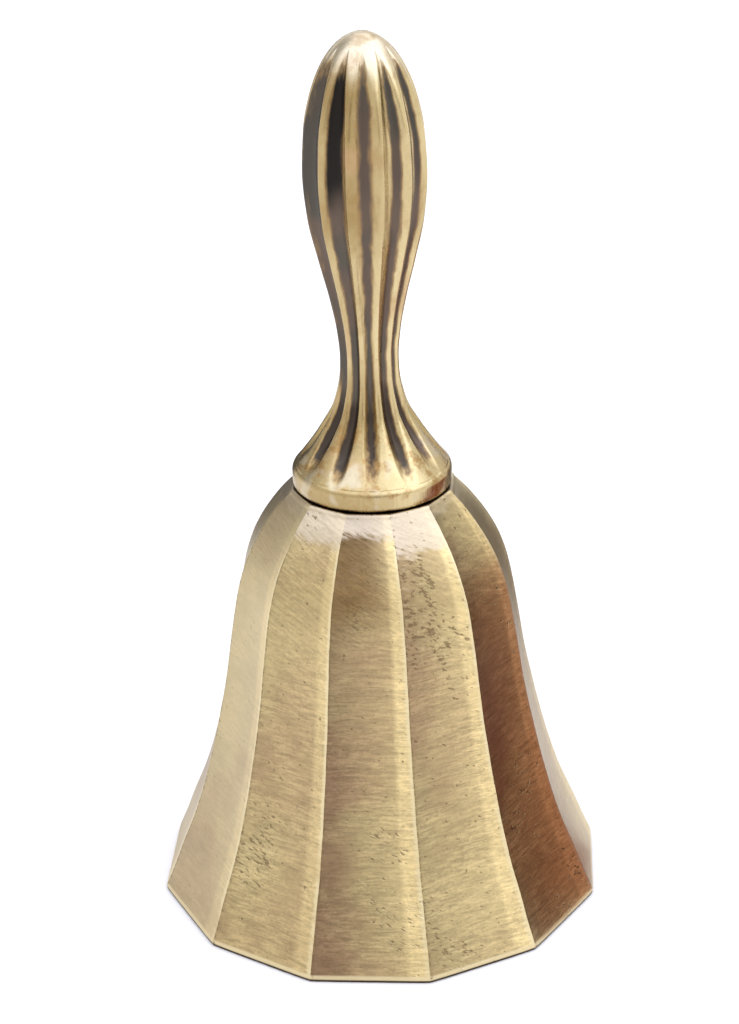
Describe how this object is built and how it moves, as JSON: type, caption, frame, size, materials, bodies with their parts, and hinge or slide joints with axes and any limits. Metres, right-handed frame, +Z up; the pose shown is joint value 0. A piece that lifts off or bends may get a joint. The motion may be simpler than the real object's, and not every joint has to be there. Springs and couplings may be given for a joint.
{
  "type": "hand bell",
  "caption": "Flared faceted brass hand bell that stands on its rim, with a slim fluted handle and a ball clapper hinged inside.",
  "frame": {"origin": "centre of the rim plane, on the surface that the bell stands on", "axes": "+Z up along the bell's axis towards the handle's tip; +X and +Y square to two of the facets, with the clapper's pin along Y"},
  "size_m": [0.0638, 0.0638, 0.1284],
  "materials": {
    "bell_brass": "antiqued cast brass, brushed round the axis, lacquered satin",
    "handle_brass": "polished cast brass with dark patina left in the flutes",
    "clapper_brass": "turned brass, dulled",
    "stud_steel": "zinc plated, dulled",
    "fastener_steel": "zinc plated, dulled",
    "clapper_steel": "drawn steel wire, dulled"
  },
  "bodies": {
    "bell": {"bell_body": "bell_brass", "handle": "handle_brass", "hanger_stud": "stud_steel", "flat_washer": "fastener_steel", "spring_washer": "fastener_steel", "crown_nut": "fastener_steel", "hinge_pin": "stud_steel"},
    "clapper": {"clapper_rod": "clapper_steel", "clapper_ball": "clapper_brass", "clapper_nut": "clapper_steel"}
  },
  "joints": [
    {"name": "clapper_swing", "type": "hinge", "parent": "bell", "child": "clapper", "pos_m": [0, 0, 0.0465], "axis": [0, 1, 0], "range_deg": [-30, 30]}
  ]
}
